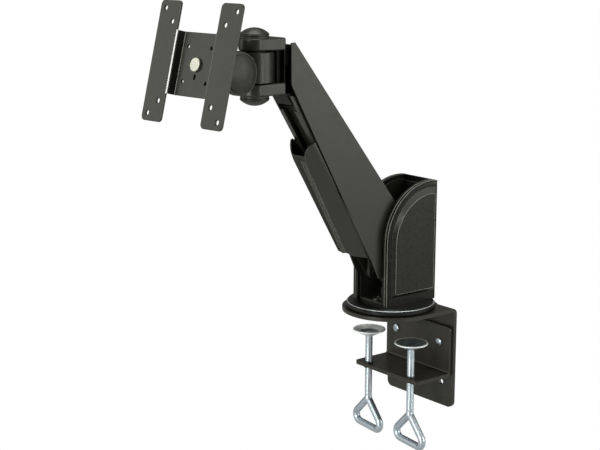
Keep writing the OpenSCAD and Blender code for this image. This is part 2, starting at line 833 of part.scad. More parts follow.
module tilt_cap(side) color(plastic) tilt_turn() mirror([side < 0 ? 1 : 0, 0, 0])
    translate([lug_hw, 0, 0]) rotate([0, 90, 0]) difference() {
        union() {
            cylinder(r = tilt_cap_r + 0.6, h = 1.8, $fn = 120);
            cylinder(r = tilt_cap_r - 1.7, h = 3, $fn = 120);
            translate([0, 0, 3]) dome(tilt_cap_r - 1.7, 4.6);
        }
        translate([0, 0, -1]) cylinder(r = 10, h = 7.2);
    }

module left_tilt_cap() tilt_cap(-1);
module right_tilt_cap() tilt_cap(1);

// ---- screen plate ----

module plate_pivot() color(zinc) tilt_turn() {
    translate([0, -web_front - slip, 0]) rotate([90, 0, 0]) {
        cylinder(r = 6.75, h = 1.6);
        translate([0, 0, 1.6]) cylinder(r1 = 6.75, r2 = 6.15, h = 0.7);
    }
    translate([0, -web_front - slip, 0]) rotate([-90, 0, 0]) cylinder(r = 5, h = web_front - 20.5);
}

module pivot_nut() color(zinc) tilt_turn()
    translate([0, -flange_back, 0]) rotate([-90, 0, 0]) hex_nut(15, 5, 6);

module rotation_washer() color(nylon) tilt_turn()
    translate([0, -flange_back - flange_t - 0.5, 0]) rotate([-90, 0, 0]) ring(5 + play, 20, 0.5);

module vesa_plate() color(steel) tilt_turn() translate([0, -plate_reach, 0]) {
    w = plate_w / 2;
    jog = 3.6;
    lap = 1.7;
    difference() {
        union() {
            rotate([-90, 0, 0]) linear_extrude(plate_t) for (s = [-1, 1])
                translate([s * (w - rail_w / 2), 0]) rounded_rect(rail_w, plate_w, 4.5);
            linear_extrude(web_h, center = true) polygon([[-rail_in - 5, 0], [-rail_in, 0],
                [-rail_in + jog, web_set], [rail_in - jog, web_set], [rail_in, 0], [rail_in + 5, 0],
                [rail_in + 5, plate_t], [rail_in + lap, plate_t], [rail_in + lap - jog, web_set + plate_t],
                [jog - lap - rail_in, web_set + plate_t], [-rail_in - lap, plate_t],
                [-rail_in - 5, plate_t]]);
        }
        for (c = [100, 75], sx = [-1, 1], sz = [-1, 1])
            translate([sx * c / 2, -1, sz * c / 2]) rotate([-90, 0, 0]) cylinder(r = 2.5, h = plate_t + 2);
        for (sx = [-1, 1], sz = [-1, 1])
            translate([sx * 16.3, 0, sz * 16.3]) rotate([-90, 0, 0]) cylinder(r = 1.8, h = 20);
        rotate([-90, 0, 0]) cylinder(r = 5 + play, h = 20);
        translate([0, 0, -11.2]) rotate([-90, 0, 0]) linear_extrude(20) {
            square([3.2, 1.8], center = true);
            for (s = [-1, 1]) translate([0, s * 0.9]) circle(1.6);
        }
    }
}

desk_bracket();
clamp_jaw();
jaw_screws();
screw_bushes();
swivel_stud();
swivel_washer();
spring_washers();
swivel_nut();
left_clamp_screw();
right_clamp_screw();
left_clamp_pad();
right_clamp_pad();
turntable_disc();
trim_ring();
turret_frame();
base_screws();
turret_shell();
side_panel_left();
side_panel_right();
shell_screws();
spring_bracket();
base_pivot_pins();
lower_pivot_pins();
anchor_pin();
upper_link();
upper_link_bushes();
spring_pin();
head_pivot_pin();
lower_link();
lower_link_bushes();
cable_cover();
gas_cylinder();
gas_rod();
yoke();
level_pin();
head_bolt();
head_nut();
top_cap();
bottom_cap();
swivel_knuckle();
knuckle_bushes();
tilt_bracket();
tilt_bolt();
tilt_nut();
tilt_washers();
left_tilt_cap();
right_tilt_cap();
plate_pivot();
pivot_nut();
rotation_washer();
vesa_plate();
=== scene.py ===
# Looks for the monitor arm: bevelled and detailed pieces, materials, studio and camera.
import json
import math

import bmesh
import bpy
from mathutils import Matrix, Vector
from mathutils.geometry import tessellate_polygon


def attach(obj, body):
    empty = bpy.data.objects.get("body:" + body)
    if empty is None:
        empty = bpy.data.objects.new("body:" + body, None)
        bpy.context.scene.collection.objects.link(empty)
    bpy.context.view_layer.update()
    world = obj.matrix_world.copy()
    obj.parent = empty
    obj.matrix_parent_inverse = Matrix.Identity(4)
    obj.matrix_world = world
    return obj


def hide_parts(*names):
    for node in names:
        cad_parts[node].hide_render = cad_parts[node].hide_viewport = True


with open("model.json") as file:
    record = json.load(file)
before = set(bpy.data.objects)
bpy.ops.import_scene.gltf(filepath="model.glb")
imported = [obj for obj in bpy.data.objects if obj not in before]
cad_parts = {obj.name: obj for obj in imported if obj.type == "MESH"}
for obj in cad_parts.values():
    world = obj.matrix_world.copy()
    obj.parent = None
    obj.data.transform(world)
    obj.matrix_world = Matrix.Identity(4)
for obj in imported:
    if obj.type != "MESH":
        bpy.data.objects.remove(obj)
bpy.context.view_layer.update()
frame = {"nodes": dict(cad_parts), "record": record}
MM = 0.001                 # everything below is drawn in mm
nodes = frame["nodes"]
slot_of = {s["node"]: s["material_slot"] for s in frame["record"]["subparts"]}
body_of = {n: b for b, ns in frame["record"]["behaviour"]["bodies"].items() for n in ns}

# ---------------------------------------------------------------- materials


def set_socket(shader, name, value):
    shader.inputs[name].default_value = value


class Tree:
    """A small wrapper that adds nodes to one material and links them."""

    def __init__(self, name):
        self.mat = bpy.data.materials.new(name)
        self.mat.use_nodes = True
        self.t = self.mat.node_tree
        self.t.nodes.clear()
        self.out = self.add("ShaderNodeOutputMaterial")
        self.bsdf = self.add("ShaderNodeBsdfPrincipled")
        self.link(self.bsdf.outputs["BSDF"], self.out.inputs["Surface"])
        coord = self.add("ShaderNodeTexCoord")
        self.mm = self.math_vector(coord.outputs["Object"], (1 / MM, 1 / MM, 1 / MM))

    def add(self, kind, **values):
        n = self.t.nodes.new(kind)
        for k, v in values.items():
            setattr(n, k, v)
        return n

    def link(self, a, b):
        self.t.links.new(a, b)

    def math_vector(self, source, scale):
        n = self.add("ShaderNodeVectorMath", operation="MULTIPLY")
        self.link(source, n.inputs[0])
        n.inputs[1].default_value = scale
        return n.outputs["Vector"]

    def noise(self, scale, detail=3.0, rough=0.55, stretch=None, seed=0.0):
        source = self.mm if stretch is None else self.math_vector(self.mm, stretch)
        n = self.add("ShaderNodeTexNoise", noise_dimensions="4D")
        self.link(source, n.inputs["Vector"])
        n.inputs["W"].default_value = seed
        n.inputs["Scale"].default_value = scale
        n.inputs["Detail"].default_value = detail
        n.inputs["Roughness"].default_value = rough
        return n.outputs["Fac"]

    def ramp(self, source, low, high, to_low=0.0, to_high=1.0):
        n = self.add("ShaderNodeMapRange", clamp=True)
        self.link(source, n.inputs["Value"])
        n.inputs["From Min"].default_value = low
        n.inputs["From Max"].default_value = high
        n.inputs["To Min"].default_value = to_low
        n.inputs["To Max"].default_value = to_high
        return n.outputs["Result"]

    def math(self, operation, a, b):
        n = self.add("ShaderNodeMath", operation=operation)
        for i, v in enumerate((a, b)):
            if isinstance(v, (int, float)):
                n.inputs[i].default_value = v
            else:
                self.link(v, n.inputs[i])
        return n.outputs["Value"]

    def mix(self, factor, a, b):
        n = self.add("ShaderNodeMix", data_type="RGBA")
        self.link(factor, n.inputs["Factor"])
        for name, v in (("A", a), ("B", b)):
            sock = [s for s in n.inputs if s.name == name and s.type == "RGBA"][0]
            if isinstance(v, (tuple, list)):
                sock.default_value = (*v, 1.0)
            else:
                self.link(v, sock)
        return [s for s in n.outputs if s.type == "RGBA"][0]

    def edge(self, radius_mm):
        """1 on sharp convex edges, 0 on flats, read from a rounded normal."""
        bevel = self.add("ShaderNodeBevel", samples=4)
        bevel.inputs["Radius"].default_value = radius_mm * MM
        geo = self.add("ShaderNodeNewGeometry")
        dot = self.add("ShaderNodeVectorMath", operation="DOT_PRODUCT")
        self.link(bevel.outputs["Normal"], dot.inputs[0])
        self.link(geo.outputs["Normal"], dot.inputs[1])
        turned = self.math("SUBTRACT", 1.0, dot.outputs["Value"])
        return self.ramp(turned, low=0.01, high=0.22)

    def wear_and_edge_sheen(self, radius_mm, patches, high, least, wear_and_sheen):
        """How far each point is made lighter: edges only, and in patches; partly rubbed paint, partly a painted
        edge highlight.
        """
        patchiness = self.ramp(patches, 0.3, high, to_low=least, to_high=1.0)
        return self.math("MULTIPLY", self.math("MULTIPLY", self.edge(radius_mm), patchiness), wear_and_sheen)

    def bump(self, height, distance_mm, strength=1.0):
        n = self.add("ShaderNodeBump")
        n.inputs["Strength"].default_value = strength
        n.inputs["Distance"].default_value = distance_mm * MM
        self.link(height, n.inputs["Height"])
        return n.outputs["Normal"]

    def finish(self, colour, rough, normal):
        self.link(colour, self.bsdf.inputs["Base Color"])
        self.link(rough, self.bsdf.inputs["Roughness"])
        self.link(normal, self.bsdf.inputs["Normal"])
        return self.mat


def scaled(colour, k):
    return tuple(min(1.0, c * k) for c in colour)


def coat(name, colour, rough, wear_and_sheen=0.3, seed=1.0):
    """Powder coat: fine orange peel, faint mottling, edges lighter: partly rubbed paint, partly a painted
    highlight.
    """
    m = Tree(name)
    set_socket(m.bsdf, "IOR", 1.5)
    peel = m.noise(scale=1.6, detail=2.0, rough=0.6, seed=seed)
    blotch = m.noise(scale=0.03, detail=4.0, rough=0.6, seed=seed + 3)
    speck = m.noise(scale=3.2, detail=1.0, rough=0.5, seed=seed + 7)
    base = m.mix(m.ramp(blotch, 0.3, 0.7), scaled(colour, 0.9), scaled(colour, 1.1))
    base = m.mix(m.ramp(speck, 0.62, 0.8, to_high=0.25), base, scaled(colour, 1.6))
    patches = m.noise(scale=0.35, detail=4.0, rough=0.7, seed=seed + 5)
    # edges made lighter in patches: partly rubbed paint, partly a painted highlight
    wear_and_edge_sheen = m.wear_and_edge_sheen(radius_mm=0.7, patches=patches, high=0.65, least=0.25, wear_and_sheen=wear_and_sheen)
    base = m.mix(wear_and_edge_sheen, base, scaled(colour, 3.2))
    haze = m.noise(scale=0.12, detail=3.0, rough=0.6, seed=seed + 9)
    roughness = m.ramp(haze, 0.25, 0.75, rough - 0.05, rough + 0.06)
    return m.finish(base, roughness, m.bump(peel, distance_mm=0.02))


def plastic(name, colour, rough=0.5, depth=0.009, brushed=None, wear_and_sheen=0.25, ior=1.47, seed=2.0):
    """Moulded plastic: a fine spark-eroded grain, or streaks drawn out along one axis."""
    m = Tree(name)
    set_socket(m.bsdf, "IOR", ior)
    blotch = m.noise(scale=0.05, detail=3.0, rough=0.6, seed=seed + 2)
    base = m.mix(m.ramp(blotch, 0.3, 0.7), scaled(colour, 0.88), scaled(colour, 1.12))
    haze = m.noise(scale=0.2, detail=3.0, rough=0.6, seed=seed + 4)
    roughness = m.ramp(haze, 0.25, 0.75, rough - 0.06, rough + 0.07)
    if brushed:
        streak = m.noise(scale=0.55, detail=1.0, rough=0.5, stretch=brushed, seed=seed + 6)
        normal = m.bump(streak, distance_mm=0.006, strength=0.8)
        base = m.mix(m.ramp(streak, 0.35, 0.7, to_high=0.8), base, scaled(colour, 1.5))
    else:
        normal = m.bump(m.noise(scale=2.4, detail=2.0, rough=0.65, seed=seed), depth)
    patches = m.noise(scale=0.4, detail=4.0, rough=0.7, seed=seed + 8)
    # edges made lighter in patches: partly rubbed paint, partly a painted highlight
    wear_and_edge_sheen = m.wear_and_edge_sheen(radius_mm=0.6, patches=patches, high=0.6, least=0.3, wear_and_sheen=wear_and_sheen)
    base = m.mix(wear_and_edge_sheen, base, scaled(colour, 3.0))
    return m.finish(base, roughness, normal)


def metal(name, colour, rough, depth=0.0008, tarnish=0.75, seed=4.0):
    """Plated or ground metal: fine scratches and cloudy plating."""
    m = Tree(name)
    set_socket(m.bsdf, "Metallic", 1.0)
    scratch = m.noise(scale=0.5, detail=1.0, rough=0.5, stretch=(1, 1, 0.12), seed=seed)
    cloud = m.noise(scale=0.14, detail=4.0, rough=0.6, seed=seed + 2)
    base = m.mix(m.ramp(cloud, 0.3, 0.72), scaled(colour, tarnish), colour)
    base = m.mix(m.ramp(scratch, 0.35, 0.7, to_high=0.5), base, scaled(colour, 0.8))
    haze = m.noise(scale=0.05, detail=2.0, rough=0.5, seed=seed + 5)
    roughness = m.ramp(haze, 0.25, 0.75, rough - 0.03, rough + 0.05)
    return m.finish(base, roughness, m.bump(cloud, depth))


slot_material = {
    "bracket_coat": coat("bracket_coat", (0.0145, 0.0125, 0.009), rough=0.31, seed=11.0),
    "arm_coat": coat("arm_coat", (0.012, 0.0122, 0.0095), rough=0.33, seed=21.0),
    "turret_plastic": plastic("turret_plastic", (0.006, 0.0063, 0.005), rough=0.3, depth=0.003,
                              ior=1.31, seed=31.0),
    "cover_plastic": plastic("cover_plastic", (0.017, 0.0174, 0.0145), rough=0.36, seed=41.0),
    "zinc": metal("zinc", (0.56, 0.63, 0.71), rough=0.38, tarnish=0.9, seed=51.0),
    "pin_steel": metal("pin_steel", (0.20, 0.20, 0.195), rough=0.32, seed=61.0),
    "bright_pin": plastic("bright_pin", (0.48, 0.47, 0.42), rough=0.34, depth=0.004, wear_and_sheen=0.0, seed=65.0),
    "nylon": plastic("nylon", (0.012, 0.012, 0.012), wear_and_sheen=0.0, seed=71.0),
    "spring_paint": coat("spring_paint", (0.006, 0.006, 0.0065), rough=0.25, wear_and_sheen=0.15, seed=81.0),
    "rod_chrome": metal("rod_chrome", (0.70, 0.71, 0.73), rough=0.1, tarnish=0.92, seed=91.0),
}
# finishes for parts of a piece: painted shade for recesses, painted highlights for edges, ribs and the disc's
# rim, painted reflections for the pad's rim and cup, caps and the panels
# near black: painted shade on the plate's step, inside the yoke and on the turret's edge band
painted_shade_plastic = plastic("painted_shade_plastic", (0.003, 0.0031, 0.0026), rough=0.42, ior=1.25, wear_and_sheen=0.1, seed=34.0)
# the pad's rim painted near white as a reflection of a white surround, its cup painted darker as a reflection
# of the plate above
painted_reflection_metal = metal("painted_reflection_metal", (0.92, 0.94, 0.96), rough=0.62, depth=0.0, tarnish=0.95, seed=54.0)
dark_reflection_metal = metal("dark_reflection_metal", (0.42, 0.47, 0.49), rough=0.42, seed=55.0)
cap_plastic = plastic("cap_plastic", (0.016, 0.0165, 0.014), rough=0.44, seed=33.0)
# pale metal for the disc's ring: a painted highlight
highlight_trim_metal = metal("highlight_trim_metal", (0.80, 0.84, 0.90), rough=0.5, depth=0.0, seed=53.0)
pin_rim = plastic("pin_rim", (0.06, 0.06, 0.035), rough=0.4, depth=0.003, wear_and_sheen=0.0, seed=66.0)
# pale: a painted highlight on the plate's left outer bend
painted_highlight_edge = plastic("painted_highlight_edge", (0.62, 0.62, 0.64), rough=0.35, depth=0.003, wear_and_sheen=0.0, seed=38.0)
# pale: a painted highlight on beads, ribs and the plate's bends
rib_highlight_plastic = plastic("rib_highlight_plastic", (0.13, 0.134, 0.12), rough=0.28, seed=37.0)
panel_plastic = plastic("panel_plastic", (0.007, 0.0073, 0.006), rough=0.26, brushed=(1, 1, 0.04),
                        ior=1.36, seed=35.0)

# ---------------------------------------------------------------- carried-over CAD nodes

bevel_mm = {
    "desk_bracket": 0.5, "clamp_jaw": 0.6, "turntable_disc": 0.25, "turret_frame": 0.3,
    "turret_shell": 0.7, "upper_link": 0.7, "lower_link": 0.3, "cable_cover": 0.4, "yoke": 1.8,
    "swivel_knuckle": 1.0, "tilt_bracket": 0.8, "vesa_plate": 0.35, "spring_bracket": 0.3,
}
SMALL_BEVEL = 0.2          # for every other node
BEVEL_FROM = 28            # degrees between two faces before their edge is rounded


def dress(node, width_mm, material):
    """Welds the carried-over mesh, rounds its edges and gives it its material."""
    o = nodes[node]
    o.data.materials.clear()
    o.data.materials.append(material)
    weld = o.modifiers.new("weld", "WELD")
    weld.merge_threshold = 1e-6
    bevel = o.modifiers.new("round", "BEVEL")
    bevel.width = width_mm * MM
    bevel.segments = 3
    bevel.limit_method = "ANGLE"
    bevel.angle_limit = math.radians(BEVEL_FROM)
    bevel.harden_normals = True
    bevel.use_clamp_overlap = True
    o.data.shade_smooth()
    even_normals(o)


def even_normals(o):
    """Shades the flats flat and keeps marked edges sharp."""
    normal = o.modifiers.new("normals", "WEIGHTED_NORMAL")
    normal.keep_sharp = True


for node_name in nodes:
    dress(node_name, bevel_mm.get(node_name, SMALL_BEVEL), slot_material[slot_of[node_name]])

# ---------------------------------------------------------------- mesh helpers (mm)


def rounded(points, segs=6):
    """A closed outline of (x, y) or (x, y, corner radius) points, with its corners rounded."""
    out = []
    for i, p in enumerate(points):
        corner = Vector(p[:2])
        if len(p) < 3 or p[2] <= 0:
            out.append(tuple(corner))
            continue
        a = (Vector(points[i - 1][:2]) - corner).normalized()
        b = (Vector(points[(i + 1) % len(points)][:2]) - corner).normalized()
        half = a.angle(b) / 2
        centre = corner + (a + b).normalized() * (p[2] / math.sin(half))
        start = corner + a * (p[2] / math.tan(half)) - centre
        end = corner + b * (p[2] / math.tan(half)) - centre
        a0 = math.atan2(start.y, start.x)
        turn = (math.atan2(end.y, end.x) - a0 + math.pi) % (2 * math.pi) - math.pi
        for k in range(segs + 1):
            t = a0 + turn * k / segs
            out.append((centre.x + p[2] * math.cos(t), centre.y + p[2] * math.sin(t)))
    return out


def ring_loop(x, y, r, count=32):
    """A circle as a loop of points."""
    turns = [2 * math.pi * k / count for k in range(count)]
    return [(x + r * math.cos(t), y + r * math.sin(t)) for t in turns]


def four_ways(across, up):
    """The four corners at plus and minus across and up."""
    return [(sx * across, sy * up) for sx in (-1, 1) for sy in (-1, 1)]


def area_of(loop):
    """The signed area, above zero for an anticlockwise loop."""
    return sum(loop[i - 1][0] * p[1] - p[0] * loop[i - 1][1] for i, p in enumerate(loop)) / 2


def inset(loop, d):
    """Moves a loop to its left by d: inwards on an anticlockwise outline."""
    out = []
    for i, p in enumerate(loop):
        e1 = (Vector(p) - Vector(loop[i - 1])).normalized()
        e2 = (Vector(loop[(i + 1) % len(loop)]) - Vector(p)).normalized()
        n1, n2 = Vector((-e1.y, e1.x)), Vector((-e2.y, e2.x))
        m = (n1 + n2) / max(0.3, 1 + n1.dot(n2))
        out.append((p[0] + m.x * d, p[1] + m.y * d))
    return out


def prism(bm, outer, holes, z0, z1, r=0.4, segs=2):
    """A flat plate between z0 and z1 with holes, its edges rounded by r."""
    loops = [outer if area_of(outer) > 0 else outer[::-1]]
    loops += [h if area_of(h) < 0 else h[::-1] for h in holes]
    steps = [(r * (1 - math.sin(math.pi / 2 * k / segs)), r * (1 - math.cos(math.pi / 2 * k / segs)))
             for k in range(segs + 1)]
    levels = [(d, z1 - dz) for d, dz in steps] + [(d, z0 + dz) for d, dz in reversed(steps)]
    caps = [[], []]
    for loop in loops:
        rows = []
        for d, z in levels:
            rows.append([bm.verts.new((x, y, z)) for x, y in inset(loop, d)])
        count = len(loop)
        for top, low in zip(rows, rows[1:]):
            for j in range(count):
                k = (j + 1) % count
                bm.faces.new((low[j], low[k], top[k], top[j]))
        caps[0].append(rows[0])
        caps[1].append(rows[-1])
    for side, rows in enumerate(caps):
        flat = [v for row in rows for v in row]
        for tri in tessellate_polygon([[Vector((v.co.x, v.co.y, 0)) for v in row] for row in rows]):
            face = [flat[i] for i in tri]
            try:
                bm.faces.new(face if side == 0 else face[::-1])
            except ValueError:
                pass


def lathe(bm, profile, count=96):
    """Turns a closed (r, z) outline about Z."""
    rows = []
    for k in range(count):
        a = 2 * math.pi * k / count
        rows.append([bm.verts.new((r * math.cos(a), r * math.sin(a), z)) for r, z in profile])
    n = len(profile)
    for k in range(count):
        a, b = rows[k], rows[(k + 1) % count]
        for i in range(n):
            j = (i + 1) % n
            bm.faces.new((a[i], b[i], b[j], a[j]))


def sweep(bm, path, r, count=20, closed=False, side=Vector((0, 1, 0))):
    """A round rod along a path that lies in the plane square to side."""
    rows = []
    last = len(path) - 1
    for i, p in enumerate(path):
        before = path[i - 1] if closed or i else path[0]
        after = path[(i + 1) % len(path)] if closed or i < last else path[last]
        along = (Vector(after) - Vector(before)).normalized()
        across = along.cross(side).normalized()
        rows.append([bm.verts.new(Vector(p) + r * (math.cos(t) * side + math.sin(t) * across))
                     for t in (2 * math.pi * k / count for k in range(count))])
    for i in range(len(rows) if closed else len(rows) - 1):
        a, b = rows[i], rows[(i + 1) % len(rows)]
        for k in range(count):
            m = (k + 1) % count
            bm.faces.new((a[k], a[m], b[m], b[k]))
    if not closed:
        bm.faces.new(rows[0][::-1])
        bm.faces.new(rows[-1])


def thread(bm, r, z0, z1, depth, pitch=1.25, around=28, per_pitch=6):
    """A shank with a rounded rolled thread whose rows follow the helix."""
    run_out = 2                # mm over which the thread fades at either end
    turns = int((z1 - z0) / pitch) + 2
    grid = []
    for i in range(turns * per_pitch + 1):
        row = []
        for k in range(around):
            z = z0 - pitch + (i / per_pitch + k / around) * pitch
            fade = min(1.0, max(0.0, (z - z0) / run_out), max(0.0, (z1 - z) / run_out))
            wave = 0.5 - 0.5 * math.cos(2 * math.pi * i / per_pitch)
            rr = r - depth * wave * fade
            t = 2 * math.pi * k / around
            row.append(bm.verts.new((rr * math.cos(t), rr * math.sin(t), min(z1, max(z0, z)))))
        grid.append(row)
    for i in range(len(grid) - 1):
        for k in range(around):
            if k < around - 1:
                quad = (grid[i][k], grid[i][k + 1], grid[i + 1][k + 1], grid[i + 1][k])
            elif i + per_pitch + 1 < len(grid):
                quad = (grid[i][k], grid[i + per_pitch][0], grid[i + per_pitch + 1][0], grid[i + 1][k])
            else:
                continue
            bm.faces.new(quad)


def slice_at(bm, point, normal):
    """Cuts every face that crosses a plane."""
    everything = bm.verts[:] + bm.edges[:] + bm.faces[:]
    bmesh.ops.bisect_plane(bm, geom=everything, plane_co=point, plane_no=normal)


def paint(bm, choose):
    """Gives each face the material index that choose(centre, distance from Z) returns."""
    for face in bm.faces:
        mid = face.calc_center_median()
        face.material_index = choose(mid, math.hypot(mid.x, mid.y))


def join(bm, part, turn=None, index=0):
    """Adds a second mesh under construction to the first, turned into place."""
    if turn:
        part.transform(turn)
    for face in part.faces:
        face.material_index = index
    helper = bpy.data.meshes.new("part")
    part.to_mesh(helper)
    part.free()
    bm.from_mesh(helper)
    bpy.data.meshes.remove(helper)


def publish(bm, name, place, stands_for, material=None, angle=32, body=None, slot_name=None, extra=()):
    """Makes a piece in metres from a mesh drawn in mm: it stands for a CAD node, or is added to a body."""
    bmesh.ops.remove_doubles(bm, verts=bm.verts, dist=1e-4)
    thin = [f for f in bm.faces if f.calc_area() < 1e-8]
    bmesh.ops.delete(bm, geom=thin, context="FACES_ONLY")
    bmesh.ops.recalc_face_normals(bm, faces=bm.faces)
    bm.transform(Matrix.Scale(MM, 4) @ place)
    mesh = bpy.data.meshes.new(name)
    bm.to_mesh(mesh)
    bm.free()
    mesh.shade_smooth()
    mesh.set_sharp_from_angle(angle=math.radians(angle))
    o = bpy.data.objects.new(name, mesh)
    bpy.context.scene.collection.objects.link(o)
    slot = slot_name or slot_of[stands_for]
    for finish in (material or slot_material[slot], *extra):
        mesh.materials.append(finish)
    even_normals(o)
    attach(o, body or body_of[stands_for])
    if stands_for:
        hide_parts(stands_for)


def side_name(side):
    """The half of the object a piece is on: -1 is left, 1 is right."""
    return "right" if side > 0 else "left"


# ---------------------------------------------------------------- places (mm)

REST = math.radians(58.0)      # slope of the links at rest
ARM_Y, ARM_Z = -16, 70         # the upper link's pivot in the turret
HEAD_Y = -181                  # the head's swivel axis
CLAMP_X = 33.8                 # the clamp screws, either side of the middle
ONE = Matrix.Identity(4)
HEAD = Matrix.Translation((0, HEAD_Y, 0)) @ Matrix.Rotation(math.radians(5.9), 4, "Z")
TILT = HEAD @ Matrix.Translation((0, -35.7, 267.3)) @ Matrix.Rotation(math.radians(-14.4), 4, "X")
# columns: local x -> X, local y -> up the link's normal, local z -> along the link
LINK = Matrix(((1, 0, 0, 0),
               (0, math.sin(REST), -math.cos(REST), ARM_Y),
               (0, math.cos(REST), math.sin(REST), ARM_Z),
               (0, 0, 0, 1)))
SIDEWAYS = Matrix(((0, 0, 1, 0), (1, 0, 0, 0), (0, 1, 0, 0), (0, 0, 0, 1)))   # (y, z, x) drawings


def mirrored(side):
    """The right half's place as it is, or its mirror image for the left."""
    return Matrix.Diagonal((side, 1, 1, 1))


# ---------------------------------------------------------------- screen plate


def bend_path(points, steps=5):
    """Samples a rounded open path: list of [length so far, x, y, tangent angle]."""
    line = rounded([(*p, r) for p, r in points], steps)
    out, length = [], 0.0
    for i, p in enumerate(line):
        if i:
            length += math.dist(p, line[i - 1])
        a, b = line[max(0, i - 1)], line[min(len(line) - 1, i + 1)]
        out.append([length, p[0], p[1], math.atan2(b[1] - a[1], b[0] - a[0])])
    out[0][3] = 0.0
    return out


def follow(path, s):
    """Place and tangent angle at length s along a sampled path."""
    for a, b in zip(path, path[1:]):
        if s <= b[0]:
            break
    t = (s - a[0]) / (b[0] - a[0])
    if t > 1 or b is path[-1]:
        angle = math.atan2(b[2] - a[2], b[1] - a[1])
    else:
        angle = a[3] + (b[3] - a[3]) * t
    return a[1] + (b[1] - a[1]) * t, a[2] + (b[2] - a[2]) * t, angle


def screen_plate():
    """The H-shaped plate: drawn flat, cut along its bends, then folded."""
    half_t, web_back = 1.25, 7.2                 # half the sheet, how far the web is set back
    half_w, web, rail, rail_in = 57.5, 30.0, 57.5, 28.3
    bend, rail_r, notch_r = 2.2, 4.5, 0.9        # corner radii
    path = bend_path([((0, web_back + half_t), 0), ((24.3, web_back + half_t), bend),
                      ((27.9, half_t), bend), ((half_w, half_t), 0)])
    full = path[-1][0]
    shift = full - half_w                        # what the folded step adds to the flat length
    edge = rail_in + shift
    corners = [(full, rail, rail_r), (edge, rail, rail_r), (edge, web, notch_r)]
    right = [(x, -y, r) for x, y, r in corners[::-1]] + corners
    left = [(-x, y, r) for x, y, r in right[::-1]]
    outline = left[3:] + right + left[:3]
    holes = []
    for half_pitch in (50, 37.5):
        holes += [ring_loop(x, y, 2.5, 28) for x, y in four_ways(half_pitch + shift, half_pitch)]
    holes += [ring_loop(x, y, 1.8, 20) for x, y in four_ways(16.3, 16.3)]
    slot_w, slot_low, slot_top, slot_r = 1.6, -13.7, -8.7, 1.59
    holes.append(rounded([(-slot_w, slot_low, slot_r), (slot_w, slot_low, slot_r),
                          (slot_w, slot_top, slot_r), (-slot_w, slot_top, slot_r)]))
    holes.append(ring_loop(0, 0, 5.1, 40))
    bm = bmesh.new()
    prism(bm, rounded(outline, 7), holes, -half_t, half_t, 0.5, 3)
    for row in path[1:-1]:
        for sx in (-1, 1):
            slice_at(bm, (sx * row[0], 0, 0), (1, 0, 0))
    for y in (-web, web):
        slice_at(bm, (0, y, 0), (0, 1, 0))
    # painted shade on the joggle step, painted highlights on the bends, the palest on the left outer bend only
    plain, shaded, bright, lit = range(4)        # the finishes, in publish's order
    step, outer_bend, inner_bend = (6, 7), (9, 11), (2, 4)

    def finish_of(mid, _):
        def within(span):
            return path[span[0]][0] < abs(mid.x) < path[span[1]][0]

        if within(step):
            return shaded
        if mid.z < 0 and abs(mid.y) < web and within(outer_bend):
            return bright if mid.x < 0 else lit
        return lit if mid.z < 0 and within(inner_bend) else plain

    paint(bm, finish_of)
    for v in bm.verts:
        side = 1 if v.co.x >= 0 else -1
        x, y, angle = follow(path, abs(v.co.x))
        w = v.co.z
        v.co = Vector((side * (x - math.sin(angle) * w), y + math.cos(angle) * w, v.co.y))
    publish(bm, "screen_plate", TILT @ Matrix.Translation((0, -45, 0)), "vesa_plate", angle=35,
            extra=(painted_shade_plastic, painted_highlight_edge, rib_highlight_plastic))


def pivot_head():
    """The pale round head in the middle of the plate, with its shank."""
    bm = bmesh.new()
    lathe(bm, rounded([(0, 4.9), (0, 7.35), (6.2, 7.2, 0.6), (6.75, 6.5, 0.4), (6.75, 4.9, 0.3)], 4), 64)
    lathe(bm, rounded([(0, -12.3), (0, 5.2), (5, 5.2), (5, -11.7, 0.3), (4.5, -12.3)], 3), 40)
    rim_from = 6.5
    paint(bm, lambda mid, r: 1 if r > rim_from else 0)
    place = TILT @ Matrix.Translation((0, -33, 0)) @ Matrix.Rotation(math.pi / 2, 4, "X")
    publish(bm, "plate_pivot_pin", place, "plate_pivot", extra=(pin_rim,))


# ---------------------------------------------------------------- caps, pads, disc


def ball_arc(rim_r, rise, top, steps=14):
    """Points of a shallow dome from its rim to just before its apex."""
    ball = (rim_r ** 2 + rise ** 2) / (2 * rise)
    last = math.asin(rim_r / ball)
    turns = [last * (steps - k) / steps for k in range(steps)]
    return [(ball * math.sin(t), top - ball + ball * math.cos(t)) for t in turns]


def tilt_cap(side):
    """The large domed cap on one end of the tilt axis."""
    bm = bmesh.new()
    profile = rounded([(10, 0), (20.1, 0, 0.3), (20.1, 1.9, 0.55), (18.7, 1.9, 0.35), (18.35, 1.3, 0.2),
                       (17.75, 1.3, 0.15), (17.75, 2.7, 0.2)], 4)
    top = 7.55
    profile += ball_arc(17.5, 4.7, top) + [(0, top), (0, 6.2), (10, 6.2)]
    lathe(bm, profile, 128)
    place = TILT @ mirrored(side) @ Matrix.Translation((19, 0, 0))
    place = place @ Matrix.Rotation(math.pi / 2, 4, "Y")
    name = side_name(side)
    publish(bm, name + "_tilt_dome", place, name + "_tilt_cap", cap_plastic, angle=28)


def bolt_cap(name, z, side):
    """A domed cap over one end of the head's swivel bolt, side 1 on top and -1 below."""
    bm = bmesh.new()
    profile = rounded([(10, 0), (14.2, 0), (14.2, 1.5, 0.2), (13.7, 1.8, 0.2), (13.7, 2.3, 0.2),
                       (14.4, 2.6, 0.25), (14.4, 4.0, 0.35)], 4)
    top = 9.95
    profile += ball_arc(14.15, 5.7, top) + [(0, top), (0, 7.4), (5.6, 7.4), (5.6, 5.6), (10, 5.6)]
    lathe(bm, profile)
    place = Matrix.Translation((0, HEAD_Y, z)) @ Matrix.Diagonal((1, 1, side, 1))
    publish(bm, name + "_dome", place, name, cap_plastic, angle=28)


